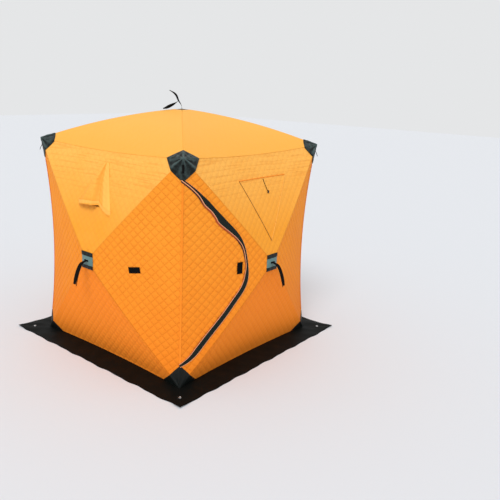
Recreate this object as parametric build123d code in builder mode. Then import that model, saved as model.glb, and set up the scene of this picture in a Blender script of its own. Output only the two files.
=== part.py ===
from build123d import *
import os

# Pop-up ice fishing hut: a square shell of quilted cloth on five hubs.
# Origin: centre of the base on the ground. Front wall to -Y, left wall to -X, +Z up.
# Each wall and the roof is a low pyramid of four cloth panels, pushed out by a hub
# whose four sprung poles run to the wall's corners.

# Driving dimensions of the shell, in millimetres
base_width = 1760  # corner to corner along one wall
corner_height = 1810  # top corners above the ground
roof_rise = 290  # roof hub above the top corners
hub_height = 905  # wall hubs above the ground
wall_rise = 208  # how far a wall hub stands out from its wall's corners
roof_bow = 40  # roof poles above their straight line at mid-length
wall_bow = 16  # the same for the wall poles
cloth_thickness = 5  # quilted cloth with its filling
hub_opening = 53  # half the width of the square opening that a hub sits in
vertical_edge_pull = 50  # how far a corner edge is pulled in at mid-height
top_edge_pull = 36  # how far an eave edge is pulled in and down at its middle
bottom_edge_pull = 31  # how far a ground edge is pulled in at its middle
seam_clearance = 0.3  # between a piece and the cloth it lies on
panel_stations = 5  # cross-sections that a panel is lofted through

# Snow skirt
skirt_width = 215  # beyond the base
skirt_thickness = 3
grommet_inset = 110  # from each outer edge of the skirt's corner
grommet_radius = 9.5
grommet_height = 1.8
grommet_barrel_radius = 6.8
grommet_hole_radius = 5

# Corner patches
patch_thickness = 2
patch_seam = 0.15  # from a patch's sewn edge to the mitre plane, half the gap between its wings
top_patch_width = 185  # along the eaves
top_patch_drop = 158  # down the corner edge
top_patch_shoulder = (125, 89)  # the bend of its side, along from the corner and down
top_patch_roof_reach = 95  # its tip on the roof pole, along each wall
bottom_patch_width = 200
bottom_patch_height = 168
hub_patch_half = 69
roof_patch_half = 100
patch_hole = 19  # half the width of the hole that the pull strap comes through
patch_start = 0.7  # share of the way from the hub, short of any patch
patch_reach = 1.02  # past the edge, to be cut back at the mitre
patch_margin = 20  # by which a patch's outline passes the edges that it is cut at

# Frame
pole_radius = 5.5
pole_start = 25  # from the hub's centre to a pole's end in its socket
pole_corner_gap = 62  # from a pole's end to the corner, along the pole
hub_radius = 44
hub_thickness = 26
socket_clearance = 0.2
pole_cloth_gap = 1.6  # from a pole to the cloth over it

# Pull straps
strap_width = 30
strap_thickness = 2.4
strap_route = [  # out from the wall's corners, and up from the wall hub
    (226, -4),
    (257, -15),
    (282, -44),
    (309, -102),
    (331, -175),
]
roof_strap_heading = 130.5  # degrees from +X, the way that it leans
roof_strap_routes = [  # along its heading, and up from the roof hub
    [(0, 0), (6, 40), (30, 76), (55, 120), (107, 158)],
    [(30, 76), (70, 44), (118, 22)],
]

# Guy loops, one sewn on the corner edge of each top patch
loop_width = 16
loop_thickness = 4
loop_top = 1768
loop_route = [(0, 0), (0.5, -12), (11, -34), (21, -60)]  # out from the corner edge, and up

# Door, cut from the front wall's left panel; its zip starts and ends on the corner edge
door_top = 1670
door_bottom = 168
zip_route = [  # from the corner edge's left end, as distance from the corner and height
    (85, 1606),
    (180, 1521),
    (262, 1420),
    (383, 1300),
    (518, 1178),
    (574, 1080),
    (608, 950),
    (621, 838),
    (594, 738),
    (522, 646),
    (420, 530),
    (236, 340),
    (75, 196),
]
door_gap = 5  # between the flap and the doorway
hinge_gap = 0.3
zip_band_width = 34
tab_width = 50
tab_length = 98
tab_thickness = 3
tab_reach = 0.9  # share of the way to the edge that holds both tabs
door_tab_centre = (-345, 912)
wall_tab_centre = (459, 903)
outline_steps = 14  # pieces that the zip line is divided into where it is pulled in

# Window covers on the front and back walls, vents and their hoods on the side walls
window_left = -286
window_right = 336
window_top = 1594
window_bottom = 1086
window_tip = 11  # how far its bottom tip lies to the right of the middle
vent_centre = 0
vent_half = 110
vent_bottom = 1345
vent_top = 1600
hood_half = 190
hood_tip_half = 30
hood_depth = 85
hood_tip_depth = 14
hood_bottom = 1300
hood_top = 1690
hood_thickness = 3

half_width = base_width / 2
hub_share = hub_opening / half_width
cut_depth = 2 * wall_rise  # of a cutter that passes through a wall
walls = {
    "front": Plane(origin=(0, -half_width, 0), x_dir=(1, 0, 0), z_dir=(0, -1, 0)),
    "right": Plane(origin=(half_width, 0, 0), x_dir=(0, 1, 0), z_dir=(1, 0, 0)),
    "back": Plane(origin=(0, half_width, 0), x_dir=(-1, 0, 0), z_dir=(0, 1, 0)),
    "left": Plane(origin=(-half_width, 0, 0), x_dir=(0, -1, 0), z_dir=(-1, 0, 0)),
}


def pole_level(share, rise, bow):
    # height of a pole above its corners' plane, by its share of the way from hub to corner
    return rise * (1 - share) + 4 * bow * share * (1 - share)


def edge_sag(pull, reach, rise, bow):
    # sag at the edge, so that the cloth meets the mitre plane a pull away from the edge line
    share = 1 - pull / reach
    return (pole_level(share, rise, bow) + pull) / share**2


def panel_strip(wall, side, share):
    # one cross-section of a panel: its plane, low end, high end, level at the ends and sag
    face = walls[wall]
    outward, along = face.z_dir, face.x_dir
    reach_up = corner_height - hub_height
    if side == "roof":
        place = Plane(outward * (share * half_width), x_dir=along, z_dir=outward)
        level = corner_height + pole_level(share, roof_rise, roof_bow)
        sag = edge_sag(top_edge_pull, half_width, roof_rise, roof_bow) * share**2
        return place, -share * half_width, share * half_width, level, sag
    level = pole_level(share, wall_rise, wall_bow)
    if side in ("left", "right"):
        across = -share * half_width if side == "left" else share * half_width
        place = Plane(face.from_local_coords((across, 0, 0)), x_dir=(0, 0, 1), z_dir=along)
        sag = edge_sag(vertical_edge_pull, half_width, wall_rise, wall_bow) * share**2
        return place, hub_height * (1 - share), hub_height + share * reach_up, level, sag
    if side == "top":
        height = hub_height + share * reach_up
        sag = edge_sag(top_edge_pull, reach_up, wall_rise, wall_bow) * share**2
    else:
        height = hub_height * (1 - share)
        sag = bottom_edge_pull * share**2
    place = Plane(face.from_local_coords((0, height, 0)), x_dir=along, z_dir=(0, 0, -1))
    return place, -share * half_width, share * half_width, level, sag


def wall_wedge(wall, side, shift=0.0):
    # the space of one wall or roof panel, between the mitre planes through the shell's edges
    face = walls[wall]
    outward, along = face.z_dir, face.x_dir
    far = half_width + cut_depth
    if side == "roof":
        near, low, height = hub_opening / 2, corner_height - cut_depth, cut_depth + 2 * roof_rise
    else:
        near, low, height = half_width - cut_depth, skirt_thickness, corner_height + cut_depth
    normal = Vector(0, 0, 1) - outward if side == "roof" else outward - Vector(0, 0, 1)
    eave = outward * half_width + Vector(0, 0, corner_height) + normal.normalized() * shift
    with BuildPart() as wedge:
        with BuildSketch(Plane(origin=(0, 0, low), x_dir=along, z_dir=(0, 0, 1))):
            with BuildLine():
                Polyline(
                    (-near + shift, -near),
                    (-far + shift, -far),
                    (far - shift, -far),
                    (near - shift, -near),
                    close=True,
                )
            make_face()
        extrude(amount=height)
        split(bisect_by=Plane(origin=eave, z_dir=normal), keep=Keep.TOP)
    return wedge.part


def make_panel(
    wall,
    side,
    over=0.0,
    thick=cloth_thickness,
    start=hub_share,
    stop=1.0,
    region=None,
    shift=0.0,
):
    # a curved cloth panel: arcs at stations from the hub to the edge, lofted and mitred
    with BuildPart() as panel:
        for station in range(panel_stations):
            share = start + (stop - start) * station / (panel_stations - 1)
            place, low, high, level, sag = panel_strip(wall, side, share)
            top = level + over
            middle = (low + high) / 2
            with BuildSketch(place):
                with BuildLine():
                    outer = ThreePointArc((low, top), (middle, top - sag), (high, top))
                    inner = ThreePointArc((low, top - thick), (middle, top - sag - thick), (high, top - thick))
                    Line(outer @ 0, inner @ 0)
                    Line(outer @ 1, inner @ 1)
                make_face()
        loft()
        if stop >= 1:
            add(wall_wedge(wall, side, shift), mode=Mode.INTERSECT)
        if region is not None:
            extrude(region, amount=cut_depth, both=True, mode=Mode.INTERSECT)
    return panel.part


def save(piece, name):
    piece.label = name
    export_step(piece, f"parts/{name}.step")


def zip_outline(inset):
    # the doorway's outline on the front wall, pulled in from the zip line by an inset
    corner = -half_width
    with BuildLine(mode=Mode.PRIVATE) as route:
        Spline(
            (corner, door_top),
            *[(corner + across, height) for across, height in zip_route],
            (corner, door_bottom),
        )
    line = route.line
    points = []
    for step in range(outline_steps + 1):
        share = step / outline_steps
        way = line % share
        points.append(line @ share + Vector(way.Y, -way.X, 0) * inset)
    outside = corner - 2 * vertical_edge_pull
    with BuildSketch(walls["front"], mode=Mode.PRIVATE) as outline:
        with BuildLine():
            edge = Spline(*points)
            Polyline(edge @ 0, (outside, points[0].Y), (outside, points[-1].Y), edge @ 1)
        make_face()
    return outline.sketch


def wall_region(wall, points):
    # a closed outline drawn on a wall's plane
    with BuildSketch(walls[wall], mode=Mode.PRIVATE) as outline:
        with BuildLine():
            Polyline(*points, close=True)
        make_face()
    return outline.sketch


# Wall and roof panels; the front wall's left one holds the doorway
window_outline = [(window_left, window_top), (window_right, window_top), (window_tip, window_bottom)]
vent_outline = [
    (vent_centre - vent_half, vent_bottom),
    (vent_centre + vent_half, vent_bottom),
    (vent_centre, vent_top),
]
for wall in walls:
    save(make_panel(wall, "roof"), f"roof_{wall}_panel")
    for side in ("bottom", "left", "right"):
        if (wall, side) != ("front", "left"):
            save(make_panel(wall, side), f"{wall}_{side}_panel")
    outline = window_outline if wall in ("front", "back") else vent_outline
    hole = wall_region(wall, outline)
    with BuildPart() as top_panel:
        add(make_panel(wall, "top"))
        extrude(hole, amount=cut_depth, both=True, mode=Mode.SUBTRACT)
    save(top_panel.part, f"{wall}_top_panel")
    if wall in ("front", "back"):
        cover = offset(hole, amount=-seam_clearance, kind=Kind.INTERSECTION)
        save(make_panel(wall, "top", region=cover), f"{wall}_window_cover")

for name, keep in (("upper", Keep.TOP), ("lower", Keep.BOTTOM)):
    with BuildPart() as beside_door:
        add(make_panel("front", "left"))
        extrude(zip_outline(0), amount=cut_depth, both=True, mode=Mode.SUBTRACT)
        split(bisect_by=Plane.XY.offset(hub_height), keep=keep)
    save(beside_door.part, f"front_left_{name}_panel")

# Door: the flap, its zip band along the free edge, and the tab that ties it back
band_outside = zip_outline(door_gap)
band_inside = zip_outline(door_gap + zip_band_width)
save(make_panel("front", "left", region=band_inside, shift=hinge_gap), "door_flap")
with BuildPart() as zip_band:
    add(make_panel("front", "left", region=band_outside, shift=hinge_gap))
    extrude(band_inside, amount=cut_depth, both=True, mode=Mode.SUBTRACT)
save(zip_band.part, "door_zip_band")


def tab(wall, side, centre, width, height):
    # a strip of hook tape sewn flat on a panel
    with BuildSketch(walls[wall], mode=Mode.PRIVATE) as outline:
        with Locations(centre):
            Rectangle(width, height)
    over = seam_clearance + tab_thickness
    return make_panel(wall, side, over=over, thick=tab_thickness, stop=tab_reach, region=outline.sketch)


save(tab("front", "left", door_tab_centre, tab_width, tab_length), "door_tab")
save(tab("left", "right", wall_tab_centre, tab_length, tab_width), "wall_tab")

# Corner patches: one over each top corner, one at each foot
patch_over = seam_clearance + patch_thickness
neighbours = {"front": "right", "right": "back", "back": "left", "left": "front"}


def patch_piece(wall, side, outline):
    # one wing of a corner patch: a thin panel over the cloth, cut to an outline and mitred
    return make_panel(wall, side, patch_over, patch_thickness, patch_start, patch_reach, outline, patch_seam)


for first, second in neighbours.items():
    with BuildPart() as top_patch:
        for wall, side, sign in ((first, "right", 1), (second, "left", -1)):
            edge = sign * half_width
            far = sign * (half_width + patch_margin)
            near = sign * (half_width - top_patch_width)
            shoulder = sign * (half_width - top_patch_shoulder[0])
            on_wall = wall_region(
                wall,
                [
                    (far, corner_height + patch_margin),
                    (near, corner_height + patch_margin),
                    (near, corner_height),
                    (shoulder, corner_height - top_patch_shoulder[1]),
                    (edge, corner_height - top_patch_drop),
                    (far, corner_height - top_patch_drop),
                ],
            )
            tip = half_width - top_patch_roof_reach
            along = walls[wall].x_dir
            with BuildSketch(Plane(origin=(0, 0, corner_height), x_dir=along, z_dir=(0, 0, 1))) as on_roof:
                with BuildLine():
                    Polyline(
                        (far, -half_width - patch_margin),
                        (near, -half_width - patch_margin),
                        (near, -half_width),
                        (sign * tip, -tip),
                        (edge, -half_width + top_patch_width),
                        (far, -half_width + top_patch_width),
                        close=True,
                    )
                make_face()
            for panel_side, outline in ((side, on_wall), ("top", on_wall), ("roof", on_roof.sketch)):
                add(patch_piece(wall, panel_side, outline))
    save(top_patch.part, f"top_patch_{first}_{second}")

with BuildPart() as foot_patches:
    for first, second in neighbours.items():
        for wall, side, sign in ((first, "right", 1), (second, "left", -1)):
            on_wall = wall_region(
                wall,
                [
                    (sign * (half_width + patch_margin), -patch_margin),
                    (sign * (half_width - bottom_patch_width), -patch_margin),
                    (sign * (half_width - bottom_patch_width), 0),
                    (sign * half_width, bottom_patch_height),
                    (sign * (half_width + patch_margin), bottom_patch_height),
                ],
            )
            for panel_side in (side, "bottom"):
                add(patch_piece(wall, panel_side, on_wall))
save(foot_patches.part, "foot_patches")

# Hub patches: a small pyramid of coated cloth over each hub, open in the middle for the strap
hole_share = patch_hole / half_width
for wall in walls:
    with BuildPart() as hub_patch:
        for side in ("top", "bottom", "left", "right"):
            add(make_panel(wall, side, patch_over, patch_thickness, hole_share, hub_patch_half / half_width))
    save(hub_patch.part, f"{wall}_hub_patch")
with BuildPart() as roof_hub_patch:
    for wall in walls:
        add(make_panel(wall, "roof", patch_over, patch_thickness, hole_share, roof_patch_half / half_width))
save(roof_hub_patch.part, "roof_hub_patch")


# Frame: a hub disc with four sockets inside each patch, and four sprung poles
def hub_frame(base, outward, sides, rise, bow):
    # the hub and its poles; sides are the vectors from the base to the corners
    top = pole_level(hub_radius / half_width, rise, bow)
    poles, bores = [], []
    for side in sides:
        reach = side.length
        place = Plane(origin=base, x_dir=side, z_dir=side.cross(outward))
        start = pole_start / reach
        end = 1 - pole_corner_gap / reach
        drop = cloth_thickness + pole_radius + pole_cloth_gap
        shares = (start, (start + end) / 2, end)
        points = [(share * reach, pole_level(share, rise, bow) - drop) for share in shares]
        for radius, group in ((pole_radius, poles), (pole_radius + socket_clearance, bores)):
            with BuildPart() as rod:
                with BuildLine(place) as route:
                    if bow:
                        ThreePointArc(*points)
                    else:
                        Line(points[0], points[2])
                with BuildSketch(Plane(origin=route.line @ 0, z_dir=route.line % 0)):
                    Circle(radius)
                sweep(path=route.line)
            group.append(rod.part)
    with BuildPart() as hub:
        with BuildSketch(Plane(origin=base + outward * top, z_dir=outward)):
            Circle(hub_radius)
        extrude(amount=-hub_thickness)
        for bore in bores:
            add(bore, mode=Mode.SUBTRACT)
    return hub.part, poles


up = Vector(0, 0, 1)
all_hubs, all_poles = [], []
for wall, face in walls.items():
    base = face.from_local_coords((0, hub_height, 0))
    sides = [
        face.x_dir * (sign * half_width) + up * lift
        for sign in (-1, 1)
        for lift in (-hub_height, corner_height - hub_height)
    ]
    hub, poles = hub_frame(base, face.z_dir, sides, wall_rise, wall_bow)
    all_hubs.append(hub)
    all_poles += poles
with BuildPart() as wall_hubs:
    add(all_hubs)
save(wall_hubs.part, "wall_hubs")
with BuildPart() as wall_poles:
    add(all_poles)
save(wall_poles.part, "wall_poles")
sides = [Vector(x * half_width, y * half_width, 0) for x in (-1, 1) for y in (-1, 1)]
hub, poles = hub_frame(Vector(0, 0, corner_height), up, sides, roof_rise, roof_bow)
save(hub, "roof_hub")
with BuildPart() as roof_poles:
    add(poles)
save(roof_poles.part, "roof_poles")


# Pull straps: webbing that stands out from each hub and bends over
def strap(place, routes, width=strap_width, thickness=strap_thickness):
    with BuildPart() as webbing:
        for points in routes:
            with BuildSketch(place):
                with BuildLine():
                    Spline(*points)
                trace(line_width=thickness)
            extrude(amount=width / 2, both=True)
    return webbing.part


with BuildPart() as wall_straps:
    for wall, face in walls.items():
        seat = pole_level(hub_radius / half_width, wall_rise, wall_bow) + seam_clearance
        place = Plane(face.from_local_coords((0, hub_height, 0)), x_dir=face.z_dir, z_dir=face.x_dir * -1)
        add(strap(place, [[(seat, 0), *strap_route]]))
save(wall_straps.part, "wall_straps")
seat = corner_height + pole_level(hub_radius / half_width, roof_rise, roof_bow) + seam_clearance
heading = Vector(1, 0, 0).rotate(Axis.Z, roof_strap_heading)
place = Plane(origin=(0, 0, seat), x_dir=heading, z_dir=heading.cross(up))
save(strap(place, roof_strap_routes), "roof_strap")

# Guy loops: doubled webbing sewn on the ridge of each top patch, hanging out and down
height_share = (loop_top - hub_height) / (corner_height - hub_height)
ridge = (half_width - vertical_edge_pull * (1 - height_share**2)) * 2**0.5 + patch_over
seat = ridge + seam_clearance + loop_thickness / 2
with BuildPart() as corner_loops:
    for x in (-1, 1):
        for y in (-1, 1):
            outward = Vector(x, y, 0).normalized()
            place = Plane(outward * seat + up * loop_top, x_dir=outward, z_dir=outward.cross(up))
            add(strap(place, [loop_route], loop_width, loop_thickness))
save(corner_loops.part, "corner_loops")


# Vent hoods: an awning of thin cloth over each vent, open below
def hood(wall):
    with BuildPart() as awning:
        for station in range(panel_stations):
            share = station / (panel_stations - 1)
            height = hood_bottom + (hood_top - hood_bottom) * share
            strip_share = (height - hub_height) / (corner_height - hub_height)
            place, low, high, level, sag = panel_strip(wall, "top", strip_share)
            half = hood_half + (hood_tip_half - hood_half) * share
            depth = hood_depth + (hood_tip_depth - hood_depth) * share
            foot = level - sag * (1 - (half / high) ** 2) + seam_clearance
            with BuildSketch(place):
                with BuildLine():
                    outer = ThreePointArc(
                        (vent_centre - half, foot), (vent_centre, foot + depth), (vent_centre + half, foot)
                    )
                    inner = ThreePointArc(
                        (vent_centre - half + hood_thickness, foot),
                        (vent_centre, foot + depth - hood_thickness),
                        (vent_centre + half - hood_thickness, foot),
                    )
                    Line(outer @ 0, inner @ 0)
                    Line(outer @ 1, inner @ 1)
                make_face()
        loft()
    return awning.part


for wall in ("left", "right"):
    save(hood(wall), f"{wall}_vent_hood")


# Snow skirt: a mitred strip of coated cloth along each wall, flat on the ground, with a
# metal grommet for a stake at each corner
outer = half_width + skirt_width
inner = half_width - cloth_thickness
grommet_reach = outer - grommet_inset
grommet_places = GridLocations(2 * grommet_reach, 2 * grommet_reach, 2, 2)
for wall, face in walls.items():
    with BuildPart() as strip:
        with BuildSketch(Plane(origin=(0, 0, 0), x_dir=face.x_dir, z_dir=(0, 0, 1))):
            with BuildLine():
                under_wall = ThreePointArc((-inner, -inner), (0, bottom_edge_pull - inner), (inner, -inner))
                Polyline(under_wall @ 0, (-outer, -outer), (outer, -outer), under_wall @ 1)
            make_face()
        extrude(amount=skirt_thickness)
        with BuildSketch():
            with grommet_places:
                Circle(grommet_barrel_radius + seam_clearance)
        extrude(amount=skirt_thickness, mode=Mode.SUBTRACT)
    save(strip.part, f"skirt_{wall}")

with BuildPart() as grommets:
    with BuildSketch():
        with grommet_places:
            Circle(grommet_barrel_radius)
    extrude(amount=skirt_thickness + grommet_height)
    with BuildSketch(Plane.XY.offset(skirt_thickness + seam_clearance)):
        with grommet_places:
            Circle(grommet_radius)
    extrude(amount=grommet_height)
    fillet(grommets.edges().group_by(Axis.Z)[-1], radius=grommet_height / 3)
    with BuildSketch():
        with grommet_places:
            Circle(grommet_hole_radius)
    extrude(amount=2 * skirt_thickness + grommet_height, mode=Mode.SUBTRACT)
save(grommets.part, "skirt_grommets")
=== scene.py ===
# Looks of a pop-up ice fishing hut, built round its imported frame. Metres, +Z up, front wall to -Y.
import math
import bmesh
import bpy
import numpy as np
from mathutils import Matrix


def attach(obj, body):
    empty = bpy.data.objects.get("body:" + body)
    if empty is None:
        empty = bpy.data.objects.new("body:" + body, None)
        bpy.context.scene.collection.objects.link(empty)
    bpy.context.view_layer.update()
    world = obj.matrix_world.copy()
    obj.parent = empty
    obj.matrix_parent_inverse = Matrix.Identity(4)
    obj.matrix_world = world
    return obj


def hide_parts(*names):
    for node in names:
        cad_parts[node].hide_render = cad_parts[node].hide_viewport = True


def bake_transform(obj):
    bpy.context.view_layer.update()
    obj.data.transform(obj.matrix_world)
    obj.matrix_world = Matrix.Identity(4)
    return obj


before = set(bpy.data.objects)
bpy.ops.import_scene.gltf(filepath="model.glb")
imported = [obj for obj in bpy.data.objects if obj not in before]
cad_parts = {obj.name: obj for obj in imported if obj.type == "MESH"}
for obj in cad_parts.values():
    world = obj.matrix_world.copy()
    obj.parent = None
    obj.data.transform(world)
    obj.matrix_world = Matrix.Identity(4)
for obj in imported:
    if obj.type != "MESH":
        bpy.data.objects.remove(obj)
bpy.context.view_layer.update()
print("frame loaded:", len(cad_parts), "nodes")

shell = {
    "halfWidth": 0.88,
    "cornerHeight": 1.81,
    "hubHeight": 0.905,
    "wallRise": 0.208,
    "wallBow": 0.016,
    "roofRise": 0.29,
    "roofBow": 0.04,
    "cornerPull": 0.05,
    "eavePull": 0.036,
    "groundPull": 0.031,
    "hubOpening": 0.053,
    "ground": 0.003,
    "steps": 88,  # grid steps from a hub to an edge
}
walls = {
    "front": (np.array([1.0, 0, 0]), np.array([0, -1.0, 0])),
    "right": (np.array([0, 1.0, 0]), np.array([1.0, 0, 0])),
    "back": (np.array([-1.0, 0, 0]), np.array([0, 1.0, 0])),
    "left": (np.array([0, -1.0, 0]), np.array([-1.0, 0, 0])),
}
up = np.array([0, 0, 1.0])
half = shell["halfWidth"]
hubHeight = shell["hubHeight"]
top = shell["cornerHeight"]


# Cloth colours as seen in daylight, 0 to 255; materials turn them into linear values. The roof and upper
# colours are paler
# # than the side colour partly as painted light from the sky, and each Low colour is the painted light or
# shade at a panel's low end
colours = {
    "roof": (251, 182, 84),
    "roofLow": (249, 176, 74),
    "upper": (254, 184, 86),
    "upperLow": (248, 162, 50),
    "side": (252, 154, 44),
    "sideLow": (242, 134, 32),
    "lower": (255, 140, 38),
    "lowerLow": (255, 144, 42),
    "hem": (254, 180, 84),
    "hoodShade": (250, 166, 68),
    "seam": (244, 138, 38),
    "patchValleyShade": (10, 18, 15),
    "patchRidgeHighlight": (86, 106, 104),
    "patch": (20, 35, 29),
    "patchDark": (8, 14, 12),
    "zipBand": (9, 18, 13),
    "bindingAndHighlight": (236, 166, 122),
    "skirt": (8, 9, 7),
    "webbing": (6, 6, 6),
    "metal": (214, 216, 216),
    "rod": (186, 186, 176),
    "plastic": (22, 22, 24),
    "floor": (222, 224, 228),
    "hubPlate": (92, 120, 118),
    "foldShadowDark": (60, 12, 6),
    "foldShadowRed": (172, 70, 18),
    "coverZip": (120, 70, 20),
}


def linear(name):
    # a colour from 0 to 255 as a linear colour with alpha
    c = np.array(colours[name]) / 255
    c = np.where(c <= 0.04045, c / 12.92, ((c + 0.055) / 1.055) ** 2.4)
    return (*c.tolist(), 1.0)


def smooth(x):
    # 0 below 0, 1 above 1, and an S curve between
    x = np.clip(x, 0, 1)
    return x * x * (3 - 2 * x)


def poleLevel(share, rise, bow):
    # height of a pole above its corners' plane: straight line from rise to 0, plus a bow
    return rise * (1 - share) + 4 * bow * share * (1 - share)


def edgeSag(pull, reach, rise, bow):
    # sag at the edge for which the cloth meets the mitre plane a pull away from the edge line
    share = 1 - pull / reach
    return (poleLevel(share, rise, bow) + pull) / share**2


def wallOut(u, z):
    # how far the bare cloth stands out: the pole level at this share of the way from the hub,
    # less a sag that grows with the share squared and is zero on the poles
    rise, bow = shell["wallRise"], shell["wallBow"]
    across = np.abs(u) / half
    lift = (z - hubHeight) / hubHeight
    share = np.maximum(np.maximum(across, np.abs(lift)), 1e-6)
    other = np.minimum(across, np.abs(lift)) / share
    corner = edgeSag(shell["cornerPull"], half, rise, bow)
    eave = edgeSag(shell["eavePull"], hubHeight, rise, bow)
    sag = np.where(across >= np.abs(lift), corner, np.where(lift > 0, eave, shell["groundPull"]))
    return poleLevel(share, rise, bow) - sag * share**2 * (1 - other**2)


def roofUp(u, w):
    # height of the bare roof above the eaves' corners, by the distance along and out from the hub
    share = np.maximum(np.maximum(np.abs(u), w) / half, 1e-6)
    other = np.minimum(np.abs(u), w) / half / share
    sag = edgeSag(shell["eavePull"], half, shell["roofRise"], shell["roofBow"])
    return poleLevel(share, shell["roofRise"], shell["roofBow"]) - sag * share**2 * (1 - other**2)


def settle(start, rule):
    # repeats value = rule(value) until it stands still
    value = start
    for _ in range(30):
        value = rule(value)
    return value


def cornerReach(z):
    # distance along the wall at which the cloth meets the next wall's mitre plane
    return settle(np.full_like(z, half), lambda u: half + wallOut(u, z))


def eaveHeight(u):
    # height at which the wall's cloth meets the roof's mitre plane
    return settle(np.full_like(u, top), lambda z: top + wallOut(u, z))


def roofReach(u):
    # distance out at which the roof's cloth meets the wall's mitre plane
    return settle(np.full_like(u, half), lambda w: half + roofUp(u, w))


def onWall(wall, u, z, lift=0.0):
    # points in the hut's frame: along the wall, up, and out by the cloth's shape plus a lift
    along, outward = walls[wall]
    out = half + wallOut(u, z) + lift
    return u[..., None] * along + z[..., None] * up + out[..., None] * outward


def onRoof(wall, u, w, lift=0.0):
    # points in the hut's frame on the roof panel over a wall
    along, outward = walls[wall]
    height = top + roofUp(u, w) + lift
    return u[..., None] * along + w[..., None] * outward + height[..., None] * up


def unit(vectors):
    # the same directions at length one
    return vectors / np.linalg.norm(vectors, axis=-1)[..., None]


def clothNormal(shape, u, v, out, alongU, alongV):
    # outward direction of a cloth: straight out, less its slopes along its two directions
    h = 0.002
    slopeU = (shape(u + h, v) - shape(u - h, v)) / (2 * h)
    slopeV = (shape(u, v + h) - shape(u, v - h)) / (2 * h)
    return unit(out - slopeU[..., None] * alongU - slopeV[..., None] * alongV)


def mitred(a, b, shape, base, tall):
    # coordinates from shares of the way to the edges, so that a share of 1 is on the mitre plane;
    # a wall has no mitre at its foot, where b is negative
    share = np.maximum(np.maximum(np.abs(a), np.abs(b)), 1e-6)
    beside = np.abs(a) >= np.abs(b)
    reach = np.where(beside, half, tall)
    toU, toV = half * a / share, tall * b / share
    edge = settle(np.ones_like(a), lambda e: 1 + shape(toU * e, base + toV * e) / reach)
    edge = np.where(beside | (b > 0), edge, 1.0)
    return half * a * edge, base + tall * b * edge


# Relief of the cloth
quilt = {
    "cell": 7,  # grid steps between stitch lines
    "depth": 0.0042,
    "fullness": 0.6,
    "swell": 0.0018,
    "pucker": 0.0015,
    "puckerWidth": 0.05,
}
patch = {
    "eave": 0.168,
    "drop": 0.158,
    "bend": (0.098, 0.092),  # along and down to the bend between its two straight edges
    "roofReach": 0.090,
    "footWidth": 0.200,
    "footHeight": 0.168,
    "lift": 0.0008,
    "thickness": 0.002,
    "crease": 0.0060,
    "bed": 0.0022,  # the cloth under a patch lies this much deeper
}


def lattice(u, z):
    # the two stitch directions, with a line at every whole number
    a = u / half * shell["steps"] / quilt["cell"]
    b = (z - hubHeight) / hubHeight * shell["steps"] / quilt["cell"]
    return a + b, a - b


def swell(u, z, phase):
    # slow unevenness of hand-stretched cloth: a sum of five long waves
    total = 0
    waves = ((5.1, 2.3, 0.3), (3.2, 7.9, 1.9), (9.7, 4.1, 4.0), (6.3, 11.2, 2.2), (13.1, 9.4, 5.1))
    for k, (fu, fz, turn) in enumerate(waves):
        total = total + np.sin(fu * u + fz * z + turn + phase * (1.3 + 0.7 * k)) / (1 + 0.5 * k)
    return total * quilt["swell"] / 2


def underPatch(u, z):
    # 1 under a wall's corner patches and 0 outside: shares of the way to the corner, added up
    across = half - np.abs(u)
    head = across / patch["eave"] + (top - z) / patch["drop"]
    foot = across / patch["footWidth"] + z / patch["footHeight"]
    return smooth((1.42 - np.minimum(head, foot)) / 0.25)


def underRoofPatch(u, w):
    # the same for the roof's corners, whose patches reach less far along the roof poles
    slope = 1 / patch["roofReach"] - 1 / patch["eave"]
    return smooth((1.25 - (half - np.abs(u)) / patch["eave"] - (half - w) * slope) / 0.25)


def quiltRelief(u, z, seam, phase, strength=1.0, pucker=1.0, under=None):
    # pillows between crossing stitch lines: a product of two rounded waves, fading out at the
    # seams, with short puckers along them; all of it is pressed flat under the patches
    p, q = lattice(u, z)
    pillow = (np.abs(np.sin(np.pi * p)) * np.abs(np.sin(np.pi * q))) ** quilt["fullness"]
    pull = np.sin((u * 1.7 + z * 1.3) * 2 * np.pi / quilt["puckerWidth"]) * np.exp(-seam / 0.035)
    inner = smooth(seam / 0.018)
    relief = -quilt["depth"] * strength * (1 - pillow) + swell(u, z, phase) - quilt["swell"]
    puckers = pucker * pull * quilt["pucker"] * smooth(seam / 0.006) * smooth(3 - seam / 0.03)
    relief = inner * relief + puckers
    flat = underPatch(u, z) if under is None else under
    return relief * (1 - flat) - patch["bed"] * flat * smooth(seam / 0.006)


def eaveCreases(u, z, phase):
    # tension creases just under the eave, nearly level and strongest towards the corners
    wave = np.sin(2 * np.pi * z / 0.047 + 1.6 * np.sin(2.4 * u + phase) + 0.8 * np.sin(7.3 * u + 2 * phase))
    near = smooth((z - 1.38) / 0.2) * smooth((1.83 - z) / 0.06)
    return 0.0014 * wave * near * (0.3 + 0.7 * smooth((np.abs(u) - 0.1) / 0.4)) * (1 - underPatch(u, z))


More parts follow.
